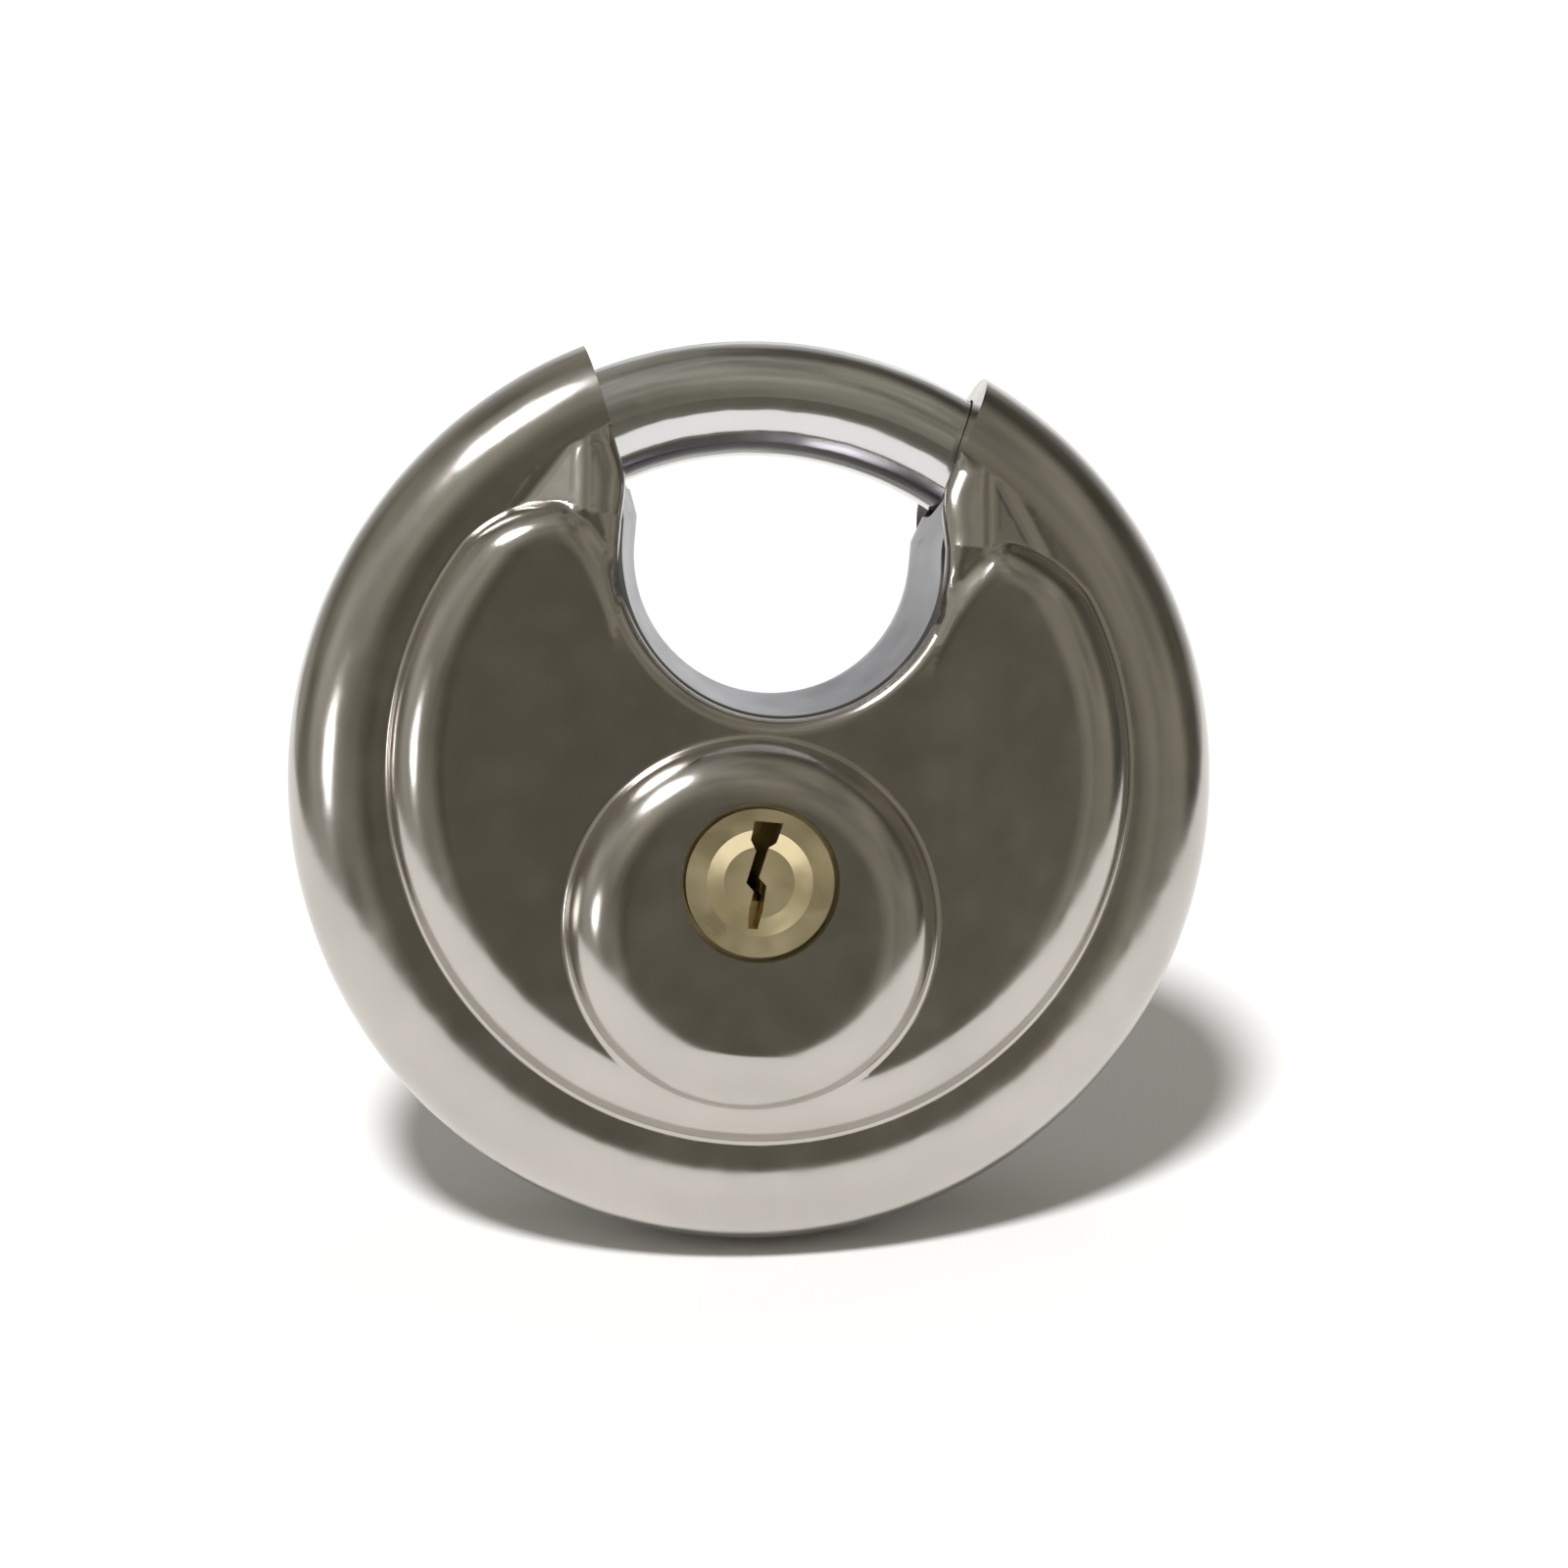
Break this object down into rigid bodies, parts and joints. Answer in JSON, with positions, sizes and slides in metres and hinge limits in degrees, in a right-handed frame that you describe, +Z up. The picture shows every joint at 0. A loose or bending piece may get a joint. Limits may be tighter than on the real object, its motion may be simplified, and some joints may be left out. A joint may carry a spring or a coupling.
{
  "type": "disc padlock",
  "caption": "Round disc padlock: drawn stainless casing with a throat, closed by a swinging round-bar shackle that a brass pin-tumbler plug turns through a crank.",
  "frame": {"origin": "on the floor under the middle of the lock, which stands on its rim", "axes": "+Z up through the throat, keyway faces -Y, +X to the right of someone facing the keyway"},
  "size_m": [0.07, 0.025, 0.068],
  "materials": {
    "stainless": "polished stainless sheet",
    "hardened_steel": "satin hardened steel",
    "chromed_bar": "bright chrome",
    "brass": "machined brass",
    "die_cast": "as cast zinc alloy",
    "plain_steel": "plain machined",
    "spring_steel": "drawn wire"
  },
  "bodies": {
    "lock_body": {"front_shell": "stainless", "rear_shell": "stainless", "throat_liner": "hardened_steel", "core_front": "die_cast", "core_rear": "die_cast", "core_rivets": "plain_steel", "cylinder_housing": "brass", "chamber_cover": "brass", "driver_pin_1": "brass", "driver_pin_2": "brass", "driver_pin_3": "brass", "driver_pin_4": "brass", "driver_pin_5": "brass", "pin_spring_1": "spring_steel", "pin_spring_2": "spring_steel", "pin_spring_3": "spring_steel", "pin_spring_4": "spring_steel", "pin_spring_5": "spring_steel"},
    "plug_body": {"plug": "brass", "tail_crank": "plain_steel", "crank_pin": "plain_steel", "crank_screw": "plain_steel", "key_pin_1": "brass", "key_pin_2": "brass", "key_pin_3": "brass", "key_pin_4": "brass", "key_pin_5": "brass"},
    "shackle_body": {"shackle": "chromed_bar", "drive_plate": "plain_steel", "drive_plate_rivets": "plain_steel"}
  },
  "joints": [
    {"name": "shackle_swing", "type": "hinge", "parent": "lock_body", "child": "shackle_body", "pos_m": [0, 0.002, 0.035], "axis": [0, 1, 0], "range_deg": [0, 59.4]},
    {"name": "plug_turn", "type": "hinge", "parent": "lock_body", "child": "plug_body", "pos_m": [0, 0.002, 0.028], "axis": [0, 1, 0], "range_deg": [0, 130]}
  ],
  "couplings": [
    {"joint": "plug_turn", "follows": "shackle_swing", "ratio": 2.188}
  ]
}
